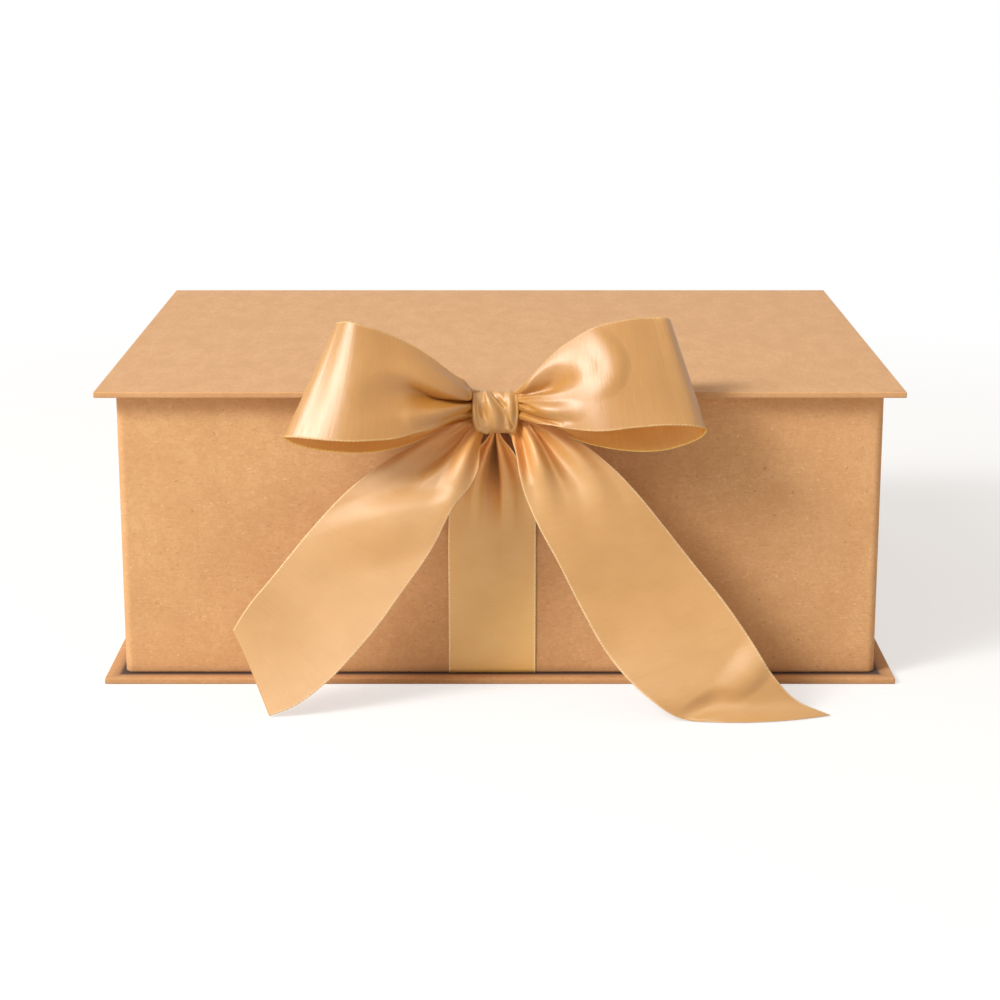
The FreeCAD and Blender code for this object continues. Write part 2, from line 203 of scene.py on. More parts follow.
def kraft_material(name, colour, depth, line=None, foot=False):
    """Kraft paper: short fibres that lie mostly one way, fine grain, soft mottling and specks. Depth is the
    relief of its surface. A line is a height in millimetres below which upright paper gets a thin painted
    shadow line, with softer painted shade above it, and a foot gives painted shade on the base where the
    tray's wall meets it."""
    material = bpy.data.materials.new(name)
    shader = Shader(material)
    coordinates = shader.add("ShaderNodeTexCoord").outputs
    place = shader.millimetres(coordinates["Object"])
    facing = shader.add("ShaderNodeSeparateXYZ", {0: coordinates["Normal"]})
    end_face = shader.step(shader.math("ABSOLUTE", facing.outputs["X"]), 0.6, 0.8)
    flat_face = shader.step(shader.math("ABSOLUTE", facing.outputs["Z"]), 0.6, 0.8, 1.0, 2.4)
    squeeze = shader.add("ShaderNodeCombineXYZ", {0: flat_face, 1: 1.0, 2: 1.0}).outputs[0]
    pulp = shader.add("ShaderNodeVectorMath", {0: place, 1: squeeze}, operation="MULTIPLY").outputs[0]

    def fibres(turn, seed, low, high, long=0.30, thin=1.9):
        """Sparse curled streaks along the face, as a value from 0 to 1."""
        moved = shader.add("ShaderNodeVectorMath", {0: place, 1: (seed, seed * 1.7, seed * 2.3)}).outputs[0]
        along_x = shader.noise(shader.stretched(moved, (long, thin, thin), turn), 1.0, 2.0, 0.55, 1.2)
        along_y = shader.noise(shader.stretched(moved, (thin, long, thin), turn), 1.0, 2.0, 0.55, 1.2)
        value = shader.add("ShaderNodeMix", {0: end_face, 2: along_x, 3: along_y}, data_type="FLOAT")
        return shader.step(value.outputs[0], low, high)

    light_fibres = shader.math("ADD", fibres(0.0, 11.0, 0.60, 0.70),
                               fibres(0.6, 31.0, 0.61, 0.71, 0.4, 1.6), clamp=True)
    dark_fibres = shader.math("ADD", fibres(-0.5, 53.0, 0.61, 0.71, 0.45, 1.7),
                              fibres(0.2, 71.0, 0.62, 0.72), clamp=True)
    grain = shader.noise(pulp, 0.9, 4.0, 0.62)
    mottle = shader.noise(pulp, 0.22, 3.0, 0.62, 0.4)
    cloud = shader.noise(pulp, 0.055, 2.0, 0.5)
    dark_specks = shader.step(shader.noise(place, 0.55, 1.0, 0.5), 0.72, 0.78)
    light_specks = shader.noise(shader.stretched(place, (1.0, 1.4, 1.2), 0.8), 0.62, 1.0, 0.5)
    light_specks = shader.step(light_specks, 0.72, 0.78)

    shade = shader.mix(shader.step(cloud, 0.30, 0.70), scaled(colour, 0.94, 0.92, 0.90),
                       scaled(colour, 1.03, 1.05, 1.08))
    shade = shader.mix(shader.step(mottle, 0.34, 0.66, 0.0, 0.42), shade, scaled(colour, 0.84, 0.78, 0.72))
    shade = shader.mix(shader.step(grain, 0.42, 0.64, 0.0, 0.34), shade, scaled(colour, 0.84, 0.78, 0.70))
    shade = shader.mix(shader.math("MULTIPLY", light_fibres, 0.24), shade, [0.95, 0.66, 0.40, 1.0])
    shade = shader.mix(shader.math("MULTIPLY", dark_fibres, 0.30), shade, scaled(colour, 0.58, 0.46, 0.34))
    shade = shader.mix(shader.math("MULTIPLY", dark_specks, 0.42), shade, scaled(colour, 0.42, 0.32, 0.22))
    shade = shader.mix(shader.math("MULTIPLY", light_specks, 0.30), shade, [0.98, 0.76, 0.52, 1.0])

    # Painted shade: a thin near-black shadow line below the line's height on upright faces, and a softer
    # painted shade fading out above it.
    if line:
        level = shader.add("ShaderNodeSeparateXYZ", {0: place}).outputs["Z"]
        upright = shader.step(shader.math("ABSOLUTE", facing.outputs["Z"]), 0.4, 0.6, 1.0, 0.0)
        painted_line_shade = shader.math("MULTIPLY", shader.step(level, line - 0.15, line + 0.15, 0.94, 0.0), upright)
        soft = shader.math("MULTIPLY", shader.step(level, line - 0.5, line + 3.5, 0.34, 0.0), upright)
        shade = shader.mix(soft, shade, scaled(colour, 0.50, 0.40, 0.32))
        shade = shader.mix(painted_line_shade, shade, PAINTED_SHADE_DARK)
    # Painted shade on the base: a soft darkening and a near-black painted shadow line just in front of and
    # beside the tray's foot.
    if foot:
        spot = shader.add("ShaderNodeSeparateXYZ", {0: place}).outputs
        beside = shader.math("SUBTRACT", shader.math("ABSOLUTE", spot["X"]), TRAY_HALF_WIDTH)
        before = shader.math("SUBTRACT", TRAY_FRONT, spot["Y"])
        beside = shader.math("MAXIMUM", beside, before)
        shade = shader.mix(shader.step(beside, 0.8, 6.0, 0.75, 0.0), shade, scaled(colour, 0.45, 0.34, 0.26))
        shade = shader.mix(shader.step(beside, 1.0, 2.8, 0.94, 0.0), shade, PAINTED_SHADE_DARK)

    height = shader.math("MULTIPLY", grain, 0.5)
    height = shader.math("ADD", height, shader.math("MULTIPLY", light_fibres, 0.35))
    height = shader.math("SUBTRACT", height, shader.math("MULTIPLY", dark_fibres, 0.25))
    bump = shader.add("ShaderNodeBump", {"Strength": 0.6, "Distance": depth, "Height": height})
    gloss = shader.step(grain, 0.3, 0.7, 0.74, 0.90)
    skin = shader.add("ShaderNodeBsdfPrincipled", {
        "Base Color": shade, "Roughness": gloss, "Normal": bump.outputs[0],
        "Specular IOR Level": 0.45, "Sheen Weight": 0.08, "Sheen Roughness": 0.5})
    shader.finish(skin.outputs[0])
    return material


def board_material():
    """Raw greyboard, seen only where it isn't covered."""
    material = bpy.data.materials.new("greyboard")
    shader = Shader(material)
    place = shader.millimetres(shader.add("ShaderNodeTexCoord").outputs["Object"])
    pulp = shader.noise(place, 0.9, 4.0, 0.7)
    flecks = shader.step(shader.noise(place, 1.6, 1.0), 0.70, 0.78)
    shade = shader.mix(pulp, [0.22, 0.18, 0.14, 1.0], [0.36, 0.31, 0.25, 1.0])
    shade = shader.mix(shader.math("MULTIPLY", flecks, 0.6), shade, [0.08, 0.06, 0.05, 1.0])
    bump = shader.add("ShaderNodeBump", {"Strength": 0.5, "Distance": 0.00006, "Height": pulp})
    gloss = shader.step(pulp, 0.3, 0.7, 0.85, 0.95)
    skin = shader.add("ShaderNodeBsdfPrincipled", {
        "Base Color": shade, "Roughness": gloss, "Normal": bump.outputs[0], "Specular IOR Level": 0.2})
    shader.finish(skin.outputs[0])
    return material


def satin_material(name, width, painted_light_scale=(1.0, 1.0, 1.0), dull=0.0, streaks=1.0, painted_knot_shade=None, pleat=None):
    """Woven satin in UV: u runs across the ribbon, v along it in ribbon widths. The painted light scale
    multiplies its colour, so that lighter copies stand in for light as painted light; dull takes away gloss,
    and streaks is the strength of its weave. The painted knot shade is where along the ribbon, in
    millimetres, its colour starts to turn, as painted shade and bounce light, towards the knot, where it is
    deepest, by how much and towards
    which colour. Pleat is the part across it painted dark as shade, where it is folded away from the light:
    where it starts, is full, starts to end and ends."""
    material = bpy.data.materials.new(name)
    shader = Shader(material)
    cloth = shader.add("ShaderNodeUVMap", uv_map="weave").outputs[0]
    split = shader.add("ShaderNodeSeparateXYZ", {0: cloth}).outputs
    across = shader.math("MULTIPLY", split["X"], width)
    along = shader.math("MULTIPLY", split["Y"], width)
    place = shader.add("ShaderNodeCombineXYZ", {0: across, 1: along, 2: 0.0}).outputs[0]
    from_edge = shader.math("MINIMUM", across, shader.math("SUBTRACT", width, across))

    weft = shader.noise(shader.stretched(place, (0.16, 2.6, 1.0)), 1.0, 4.0, 0.72)
    ribs = shader.noise(shader.stretched(place, (0.05, 0.9, 1.0)), 1.0, 2.0, 0.6)
    slub = shader.step(shader.noise(shader.stretched(place, (0.22, 2.2, 1.0)), 1.0, 1.0), 0.66, 0.74)
    soft = shader.noise(place, 0.06, 2.0, 0.5)

    uneven = shader.noise(shader.stretched(place, (1.0, 0.7, 1.0)), 1.0, 2.0, 0.6)
    ragged = shader.math("ADD", from_edge, shader.math("MULTIPLY", uneven, 0.35))
    edge = shader.step(ragged, 0.50, 0.95, 1.0, 0.0)
    stitch_length = 1.15
    stitch = shader.math("SINE", shader.math("MULTIPLY", along, 2 * math.pi / stitch_length))
    stitch = shader.step(stitch, 0.2, 0.8)
    stitches = shader.math("MULTIPLY", shader.math("MULTIPLY", edge, stitch), shader.step(uneven, 0.35, 0.60))

    shade = shader.mix(shader.step(soft, 0.30, 0.70), scaled(painted_light_scale, 0.490, 0.215, 0.046),
                       scaled(painted_light_scale, 0.525, 0.236, 0.056))
    shade = shader.mix(shader.step(weft, 0.34, 0.70, 0.0, 0.22 * streaks), shade,
                       scaled(painted_light_scale, 0.610, 0.310, 0.090))
    shade = shader.mix(shader.step(ribs, 0.42, 0.70, 0.0, 0.16 * streaks), shade,
                       scaled(painted_light_scale, 0.400, 0.158, 0.030))
    shade = shader.mix(shader.math("MULTIPLY", slub, 0.14 * streaks), shade,
                       scaled(painted_light_scale, 0.780, 0.490, 0.220))
    # Painted shade and bounce light: the colour turns towards another tone near the knot.
    if painted_knot_shade:
        start, deepest, share, deep = painted_knot_shade
        painted_shade_share = shader.math("MULTIPLY", shader.step(along, start, deepest), share)
        shade = shader.mix(painted_shade_share, shade, deep)
    # Painted shade: the pleat under the knot is painted dark brown.
    if pleat:
        start, full, fade, end = pleat
        painted_pleat_shade = shader.math("MULTIPLY", shader.step(across, start, full),
                             shader.step(across, fade, end, 1.0, 0.0))
        painted_pleat_shade = shader.math("MULTIPLY", painted_pleat_shade, shader.step(along, 57.0, 90.0, 0.0, 0.82))
        shade = shader.mix(painted_pleat_shade, shade, [0.200, 0.080, 0.008, 1.0])
    shade = shader.mix(shader.math("MULTIPLY", edge, 0.45), shade, scaled(painted_light_scale, 0.800, 0.520, 0.250))
    shade = shader.mix(shader.math("MULTIPLY", stitches, 0.50), shade, scaled(painted_light_scale, 0.300, 0.130, 0.040))

    height = shader.math("ADD", weft, shader.math("MULTIPLY", ribs, 1.6))
    height = shader.math("ADD", height, shader.math("MULTIPLY", edge, 0.7))
    height = shader.math("SUBTRACT", height, stitches)
    bump = shader.add("ShaderNodeBump", {"Strength": 0.40 * streaks, "Distance": 0.00010, "Height": height})
    gloss = shader.step(weft, 0.3, 0.7, 0.42 + dull, 0.48 + dull)
    gloss = shader.math("ADD", gloss, shader.math("MULTIPLY", edge, 0.20))
    tangent = shader.add("ShaderNodeTangent", direction_type="UV_MAP", uv_map="weave")
    skin = shader.add("ShaderNodeBsdfPrincipled", {
        "Base Color": shade, "Roughness": gloss, "Normal": bump.outputs[0], "Tangent": tangent.outputs[0],
        "IOR": 1.60, "Specular IOR Level": 1.0, "Specular Tint": (1.0, 0.99, 0.95, 1.0), "Anisotropic": 0.50,
        "Subsurface Weight": 0.5, "Subsurface Radius": (1.0, 0.9, 0.7), "Subsurface Scale": 0.0008})
    shader.finish(skin.outputs[0])
    return material


# Ribbon surfaces

def smooth(values, places, samples):
    """Values at the sample places on a smooth curve through rows of values."""
    values = np.asarray(values, float)
    slopes = np.gradient(values, places, axis=0)
    index = np.clip(np.searchsorted(places, samples, side="right") - 1, 0, len(places) - 2)
    gap = places[index + 1] - places[index]
    share = (samples - places[index]) / gap
    shape = (-1,) + (1,) * (values.ndim - 1)
    gap = gap.reshape(shape)
    share = share.reshape(shape)
    near = ((1 + 2 * share) * (1 - share) ** 2 * values[index]
            + share * (1 - share) ** 2 * gap * slopes[index])
    far = (share ** 2 * (3 - 2 * share) * values[index + 1]
           - share ** 2 * (1 - share) * gap * slopes[index + 1])
    return near + far


def unit(vectors):
    return vectors / np.maximum(np.linalg.norm(vectors, axis=-1, keepdims=True), 1e-9)


def row_places(points):
    """Distance of each point from the first, along the line through them."""
    return np.concatenate([[0.0], np.cumsum(np.linalg.norm(np.diff(points, axis=0), axis=1))])


def surface_normals(grid):
    """Unit normals of a grid of points: its way across crossed with its way along."""
    along = np.gradient(grid, axis=0)
    across = np.gradient(grid, axis=1)
    return unit(np.cross(across, along))


def ribbon_grid(rows, lengthwise, crosswise):
    """A smooth surface through rows of low edge, upper edge, camber and pleat depth."""
    low = np.array([row[0] for row in rows], float)
    high = np.array([row[1] for row in rows], float)
    extra = np.array([row[2:] for row in rows], float)
    middle = (low + high) / 2
    places = row_places(middle)
    samples = np.linspace(0.0, places[-1], lengthwise)
    low = smooth(low, places, samples)
    high = smooth(high, places, samples)
    extra = smooth(extra, places, samples)
    share = np.linspace(0.0, 1.0, crosswise)
    grid = low[:, None, :] + (high - low)[:, None, :] * share[None, :, None]
    return grid, extra, share, samples / places[-1]


def bulged(grid, amount, turn):
    """The grid moved along its normals by an amount for each point."""
    return grid + surface_normals(grid) * turn * amount[..., None]


def relief(grid, features, mask):
    """Depth of soft ridges and valleys at each point of a grid. A feature is a path of points in the front
    view, each with a radius above the path, a radius below it and a depth."""
    spot = grid[..., [0, 2]]
    total = np.zeros(grid.shape[:2])
    for feature in features:
        rows = np.array(feature, float)
        places = row_places(rows[:, :2])
        path = smooth(rows, places, np.linspace(0.0, places[-1], 8 * len(rows)))
        path[:, 2:4] = np.maximum(path[:, 2:4], 0.3)
        side = 1 if rows[-1, 0] >= rows[0, 0] else -1
        deepest = np.zeros(grid.shape[:2])
        for first, second in zip(path, path[1:]):
            start, run = first[:2], second[:2] - first[:2]
            share = np.clip((spot - start) @ run / (run @ run), 0.0, 1.0)
            apart = spot - start - share[..., None] * run
            distance = np.linalg.norm(apart, axis=-1)
            over = (apart[..., 1] * run[0] - apart[..., 0] * run[1]) * side
            over = 0.5 + 0.5 * over / np.maximum(distance * np.linalg.norm(run), 1e-6)
            above, below, depth = (a + (b - a) * share for a, b in zip(first[2:], second[2:]))
            distance = distance / (below + (above - below) * over)
            value = depth * np.clip(1.0 - distance ** 2, 0.0, 1.0) ** 2
            deepest = np.where(np.abs(value) > np.abs(deepest), value, deepest)
        total += deepest
    return total * mask


def make_piece(name, grid, material, width, length, thickness=SATIN_THICKNESS, closed=False):
    """A mesh from a grid, with the weave's UV map and the cloth's thickness. A closed grid joins its last
    column to its first."""
    rows, columns = grid.shape[:2]
    points = (grid.reshape(-1, 3) * MM).tolist()
    faces = []
    last = columns if closed else columns - 1
    for i in range(rows - 1):
        for j in range(last):
            k = (j + 1) % columns
            faces.append((i * columns + j, i * columns + k, (i + 1) * columns + k, (i + 1) * columns + j))
    mesh = bpy.data.meshes.new(name)
    mesh.from_pydata(points, [], faces)
    layer = mesh.uv_layers.new(name="weave")
    coordinates = np.zeros((len(faces) * 4, 2))
    steps = np.ones(rows - 1) if closed else np.linalg.norm(np.diff(grid[:, columns // 2], axis=0), axis=1)
    run = np.concatenate([[0.0], np.cumsum(steps)]) / steps.sum()
    count = 0
    for i in range(rows - 1):
        for j in range(last):
            for a, b in ((i, j), (i, j + 1), (i + 1, j + 1), (i + 1, j)):
                coordinates[count] = (b / last, run[a] * length / width)
                count += 1
    layer.data.foreach_set("uv", coordinates.ravel())
    mesh.materials.append(material)
    for polygon in mesh.polygons:
        polygon.use_smooth = True
    piece = bpy.data.objects.new(name, mesh)
    bpy.context.scene.collection.objects.link(piece)
    solid = piece.modifiers.new("thickness", "SOLIDIFY")
    solid.thickness = thickness * MM
    solid.offset = 0.0
    return piece


def add_inside(piece, material, faces_in):
    """The other side of a loop, with its own material. Its faces may already point into the loop."""
    piece.data.materials.append(material)
    if faces_in:
        piece.data.materials[0], piece.data.materials[1] = material, piece.data.materials[0]
    piece.modifiers["thickness"].material_offset = 1
    piece.modifiers["thickness"].material_offset_rim = 1 if faces_in else 0


def grid_length(grid):
    """Length of the ribbon's middle line in millimetres."""
    middle = grid[:, grid.shape[1] // 2]
    return float(np.linalg.norm(np.diff(middle, axis=0), axis=1).sum())


def arch(share):
    """0 at a ribbon's two edges and 1 in its middle."""
    return 4 * (share * (1 - share))[None, :]


def waves(share, count):
    return np.sin(share * math.pi * count)[None, :]


def loop_grid(rows, features, lips, turn):
    """A loop: out of the knot's front, round the fold and back behind, with its creases near the knot.
    The lips hang down over a crease."""
    placed = []
    for low, across, camber, pleat in rows:
        low = KNOT + np.array(low, float)
        placed.append((low, low + np.array(across, float) * RIBBON, camber, pleat))
    grid, extra, share, along = ribbon_grid(placed, 340, 96)
    camber = extra[:, 0][:, None] * arch(share)
    pleats = extra[:, 1][:, None] * waves(share, 7)
    grid = bulged(grid, camber + pleats, turn)
    front_end, fade = 0.47, 0.06
    front = np.clip((front_end - along) / fade, 0.0, 1.0)[:, None]
    lowered = relief(grid, lips, front)
    grid = bulged(grid, relief(grid, features, front), turn)
    grid[..., 2] -= lowered
    return grid


# Rows of a loop: low edge from the knot's centre, way across in ribbon widths, camber and pleat depth.
LEFT_LOOP = (
    ((-5.5, -2.0, 1.6), (0.00, 0.02, 0.16), 0.0, 0.4),
    ((-8.6, -3.7, 0.2), (0.00, 0.03, 0.22), 0.4, 0.4),
    ((-12.5, -9.4, -0.5), (0.05, 0.10, 0.32), 1.0, 0.2),
    ((-18.0, -14.4, -1.7), (0.10, 0.20, 0.41), 1.4, 0.0),
    ((-28.0, -20.8, -3.4), (-0.02, 0.35, 0.72), 2.0, 0.0),
    ((-37.0, -24.5, -5.1), (-0.08, 0.43, 0.90), 1.6, 0.0),
    ((-44.0, -26.3, -5.2), (0.01, 0.465, 0.935), 1.1, 0.0),
    ((-50.0, -27.5, -5.2), (0.075, 0.49, 0.96), 0.8, 0.0),
    ((-56.0, -27.6, -5.0), (0.15, 0.50, 0.98), 0.5, 0.0),
    ((-62.0, -26.5, -4.8), (0.235, 0.50, 0.985), 0.2, 0.0),
    ((-68.0, -24.3, -4.7), (0.32, 0.49, 0.97), 0.0, 0.0),
    ((-72.5, -22.6, -4.7), (0.39, 0.48, 0.955), 0.0, 0.0),
    ((-75.0, -20.9, -5.0), (0.45, 0.45, 0.95), 0.0, 0.0),
    ((-75.0, -17.2, -6.9), (0.445, 0.425, 0.953), 0.0, 0.0),
    ((-68.0, -12.6, -10.9), (0.34, 0.39, 0.98), 0.0, 0.0),
    ((-58.0, -10.7, -12.8), (0.22, 0.39, 0.94), 0.3, 0.0),
    ((-43.0, -9.7, -13.0), (0.18, 0.37, 0.82), 0.6, 0.0),
    ((-29.5, -6.7, -10.3), (0.14, 0.29, 0.57), 0.8, 0.3),
    ((-18.0, -2.2, -5.8), (0.10, 0.14, 0.29), 0.6, 0.5),
    ((-8.5, 1.6, -3.3), (0.00, 0.03, 0.18), 0.2, 0.6),
    ((-5.5, 2.0, -2.6), (0.00, 0.02, 0.15), 0.0, 0.5),
)
RIGHT_LOOP = (
    ((5.5, -2.0, -0.4), (0.00, 0.02, 0.190), 0.0, 0.4),
    ((8.9, -4.6, -1.5), (0.00, 0.03, 0.265), 0.3, 0.3),
    ((13.5, -10.2, -1.7), (-0.04, 0.11, 0.339), 0.6, 0.1),
    ((18.5, -15.2, -1.5), (-0.08, 0.225, 0.425), 1.0, 0.0),
    ((29.1, -20.8, -2.3), (-0.12, 0.36, 0.682), 2.2, 0.0),
    ((39.2, -25.2, -1.9), (-0.09, 0.45, 0.854), 2.8, 0.0),
    ((50.2, -26.4, -0.4), (-0.11, 0.49, 0.883), 2.2, 0.0),
    ((65.1, -26.0, 0.4), (-0.22, 0.52, 0.882), 0.8, 0.0),
    ((73.0, -24.2, -0.6), (-0.28, 0.49, 0.901), 0.1, 0.0),
    ((76.0, -20.6, -2.3), (-0.31, 0.47, 0.910), 0.0, 0.0),
    ((75.3, -16.9, -5.4), (-0.31, 0.44, 0.940), 0.0, 0.0),
    ((70.6, -13.0, -9.0), (-0.28, 0.42, 0.960), 0.0, 0.0),
    ((62.0, -11.2, -12.0), (-0.25, 0.41, 0.970), 0.3, 0.0),
    ((48.0, -10.2, -12.5), (-0.20, 0.39, 0.810), 0.6, 0.0),
    ((32.0, -6.7, -10.0), (-0.10, 0.29, 0.540), 0.8, 0.3),
    ((20.5, -3.2, -5.8), (-0.11, 0.16, 0.280), 0.6, 0.5),
    ((8.5, 1.6, -3.3), (0.00, 0.03, 0.180), 0.2, 0.6),
    ((5.5, 2.0, -2.6), (0.00, 0.02, 0.150), 0.0, 0.5),
)

# Creases and ridges on the loops' front layers. Each path's points are x, z, the radius above and below the
# path, and the depth, all in millimetres.
LEFT_FEATURES = (
    ((-9.0, 112.2, 0.6, 1.0, -1.8), (-13.0, 113.8, 0.9, 2.6, -4.4), (-18.5, 116.0, 1.3, 5.0, -6.6),
     (-25.0, 118.2, 1.9, 8.0, -6.0), (-31.0, 119.0, 4.5, 9.5, -4.2), (-38.5, 118.4, 8.0, 9.5, -2.4),
     (-46.0, 117.6, 8.0, 9.0, -0.5)),
    ((-9.5, 114.0, 1.6, 1.2, 0.9), (-18.0, 118.0, 4.2, 2.0, 2.2), (-27.0, 122.4, 6.5, 3.0, 1.9),
     (-35.0, 127.0, 7.0, 5.0, 0.3)),
    ((-9.5, 110.2, 1.3, 1.3, 0.8), (-20.0, 110.0, 3.4, 3.0, 1.6), (-31.0, 109.5, 5.5, 4.5, 0.8)),
    ((-9.3, 108.7, 0.5, 0.5, -1.0), (-15.0, 107.0, 0.9, 0.8, -1.3), (-21.5, 104.8, 1.2, 1.0, -0.4)),
    ((-9.3, 107.9, 0.4, 0.4, -0.8), (-13.5, 105.9, 0.6, 0.6, -0.8), (-17.0, 104.4, 0.8, 0.8, -0.2)),
)
LEFT_LIPS = (
    ((-9.3, 113.2, 1.4, 0.8, 0.6), (-14.0, 115.2, 2.2, 0.9, 1.6), (-19.5, 117.6, 3.0, 1.2, 2.2),
     (-25.5, 120.2, 4.0, 1.7, 1.7),
     (-32.0, 123.0, 4.0, 3.0, 0.2)),
)
RIGHT_FEATURES = (
    ((8.3, 114.6, 1.0, 0.8, -1.2), (12.0, 116.8, 2.4, 2.0, -3.4), (16.0, 118.8, 4.0, 3.2, -4.2),
     (20.5, 121.0, 5.6, 4.4, -2.8), (25.0, 123.0, 6.0, 5.0, -0.6)),
    ((7.8, 116.3, 1.0, 1.0, 0.5), (12.6, 121.4, 2.2, 2.2, 1.1), (18.0, 127.4, 3.6, 3.8, 0.8),
     (24.5, 133.0, 5.0, 5.0, 0.1)),
    ((30.0, 138.0, 4.0, 5.0, 0.1), (35.0, 136.6, 4.2, 6.5, 0.4), (39.6, 133.4, 4.4, 7.5, 0.8),
     (42.2, 129.2, 4.6, 8.0, 1.0),
     (41.6, 124.4, 4.6, 7.5, 0.9), (37.8, 120.8, 4.4, 6.0, 0.5), (33.0, 118.6, 4.0, 4.6, 0.1)),
    ((7.3, 111.3, 1.6, 1.6, 0.8), (12.5, 111.1, 2.7, 2.9, 2.2), (19.0, 111.0, 3.5, 3.5, 2.2),
     (27.0, 111.6, 4.6, 4.2, 0.5)),
    ((7.3, 111.4, 0.7, 0.7, -1.2), (10.0, 111.2, 1.1, 1.1, -1.7), (12.6, 110.8, 1.2, 1.2, -0.9),
     (15.0, 110.4, 1.2, 1.2, -0.1)),
    ((7.5, 108.4, 0.6, 0.6, -1.0), (14.0, 107.5, 1.0, 0.9, -1.5), (22.0, 106.6, 1.6, 1.2, -0.4)),
    ((7.7, 107.0, 0.7, 0.7, 0.4), (15.0, 106.0, 1.4, 1.2, 0.7), (25.0, 105.9, 2.2, 1.6, 0.2)),
)
RIGHT_LIPS = (
    ((8.2, 115.2, 1.0, 0.6, 0.3), (12.0, 118.6, 1.6, 1.0, 0.7), (16.5, 122.4, 2.4, 1.6, 0.6)),
)


def tail_grid(rows, folds, turn, round_cut=0.0):
    """A tail: out of the knot's foot and down to the table, with its folds near the knot.
    Its cut end can be rounded towards the front."""
    placed = [(np.array(low), np.array(high), camber, pleat) for low, high, camber, pleat in rows]
    grid, extra, share, along = ribbon_grid(placed, 320, 88)
    camber = extra[:, 0][:, None] * arch(share)
    pleats = extra[:, 1][:, None] * waves(share, 5)
    grid = bulged(grid, camber + pleats, turn)
    grid = bulged(grid, relief(grid, folds, 1.0), turn)
    last_fifth = np.clip((along - 0.80) / 0.20, 0.0, 1.0)[:, None]
    grid[..., 1] -= round_cut * arch(share) * last_fifth ** 2
    return grid


# Rows of a tail, from the knot to its cut end: lower edge, upper edge, camber and pleat depth.
LEFT_TAIL = (
    ((-5.0, -127.4, 101.5), (-9.0, -127.2, 103.5), 0.0, 0.0),
    ((-6.6, -129.4, 98.1), (-13.0, -128.6, 103.9), 0.2, 0.0),
    ((-7.3, -133.6, 94.6), (-20.0, -129.8, 101.3), 0.6, 0.0),
    ((-7.9, -138.3, 88.3), (-30.9, -133.0, 95.8), 0.8, 0.0),
    ((-10.5, -141.0, 83.0), (-40.1, -135.2, 91.4), 0.6, 0.0),
    ((-17.4, -143.6, 74.2), (-49.3, -137.6, 85.3), 0.3, 0.0),
    ((-23.2, -146.4, 63.0), (-55.4, -139.6, 80.6), 0.0, 0.0),
    ((-35.9, -149.4, 44.4), (-68.7, -141.4, 66.6), -0.6, 0.0),
    ((-49.4, -153.1, 26.8), (-83.4, -146.1, 49.3), -1.2, 0.0),
    ((-63.9, -157.0, 12.2), (-91.4, -149.8, 40.1), -1.6, 0.0),
    ((-75.4, -158.4, 4.0), (-95.1, -150.4, 34.6), -1.4, 0.0),
    ((-84.0, -158.4, 0.5), (-97.3, -150.0, 30.7), -1.0, 0.0),
)
RIGHT_TAIL = (
    ((1.2, -127.4, 101.5), (5.0, -127.2, 103.5), 0.0, 0.0),
    ((4.4, -129.4, 98.0), (11.0, -128.6, 104.5), 0.2, 0.0),
    ((5.8, -133.2, 94.1), (18.5, -130.2, 102.5), 0.5, 0.0),
    ((7.2, -138.2, 85.9), (30.4, -133.6, 96.5), 0.8, 0.0),
    ((9.0, -140.8, 79.3), (40.4, -136.6, 89.0), 0.6, 0.0),
    ((14.0, -144.6, 68.2), (50.3, -140.0, 79.2), 0.3, 0.0),
    ((21.0, -147.2, 55.5), (59.8, -141.6, 67.7), 0.0, 0.0),
    ((29.5, -149.6, 38.8), (71.0, -143.0, 53.6), -0.5, 0.0),
    ((38.5, -154.5, 23.7), (82.4, -146.6, 39.9), -1.0, 0.0),
    ((46.8, -159.9, 14.6), (91.6, -151.7, 27.2), -1.3, 0.0),
    ((55.1, -163.5, 7.9), (99.3, -155.9, 15.4), -1.2, 0.0),
    ((62.3, -163.3, 2.7), (108.5, -155.5, 5.5), -0.5, 0.0),
    ((69.5, -163.4, 0.4), (120.4, -157.2, 0.5), 0.0, 0.0),
)

# Folds of the tails, as paths of x, z, radius above, radius below and depth.
LEFT_TAIL_FOLDS = (
    ((-7.4, 102.4, 1.2, 1.2, 1.0), (-9.8, 98.0, 2.6, 2.8, 2.6), (-12.4, 92.5, 4.0, 4.2, 3.6),
     (-15.0, 86.0, 5.6, 5.6, 2.8),
     (-19.0, 76.0, 7.5, 7.5, 0.5)),
    ((-11.2, 102.2, 0.8, 0.8, -0.8), (-16.4, 97.6, 2.8, 2.4, -3.0), (-22.0, 93.2, 5.0, 4.2, -3.6),
     (-28.5, 88.8, 6.6, 5.6, -2.2),
     (-35.0, 84.6, 7.0, 6.5, -0.4)),
    ((-14.5, 103.4, 0.9, 0.9, 0.4), (-23.0, 99.0, 2.0, 2.2, 1.0), (-34.0, 92.0, 3.6, 4.0, 1.0),
     (-45.0, 85.0, 5.0, 5.0, 0.2)),
    ((-72.0, 61.0, 8.0, 16.0, 0.2), (-56.0, 67.0, 9.0, 18.0, 1.5), (-38.0, 72.5, 9.5, 18.0, 2.3),
     (-20.0, 76.0, 7.0, 14.0, 1.6)),
)
